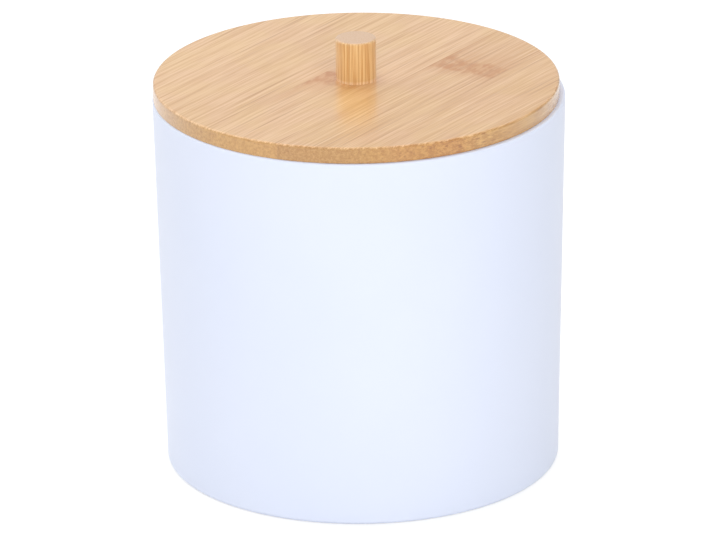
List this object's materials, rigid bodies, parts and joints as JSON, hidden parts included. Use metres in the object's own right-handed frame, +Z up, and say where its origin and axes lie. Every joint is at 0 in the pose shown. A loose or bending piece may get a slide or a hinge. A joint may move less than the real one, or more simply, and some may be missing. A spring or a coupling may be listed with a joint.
{
  "type": "cosmetic storage box",
  "caption": "Round storage box: a tapered moulded tub with a bamboo lid that plugs loosely into its mouth and is lifted by a short dowel knob.",
  "frame": {"origin": "centre of the tub's standing ring, on the surface that the box stands on", "axes": "+Z up along the tub's axis, +Y away from the picture's viewer, +X to the viewer's right"},
  "size_m": [0.1, 0.1, 0.1075],
  "materials": {
    "tub_plastic": "satin moulded, cool white",
    "board_bamboo": "flat-pressed bamboo, satin lacquer",
    "knob_bamboo": "turned bamboo dowel, satin lacquer",
    "screw_steel": "bright zinc plated"
  },
  "bodies": {
    "tub": {"tub": "tub_plastic"},
    "lid": {"lid_board": "board_bamboo", "lid_knob": "knob_bamboo", "knob_screw": "screw_steel"}
  },
  "joints": [
    {"name": "lid_lift", "type": "slide", "parent": "tub", "child": "lid", "axis": [0, 0, 1], "range_m": [0, 0.06]}
  ]
}
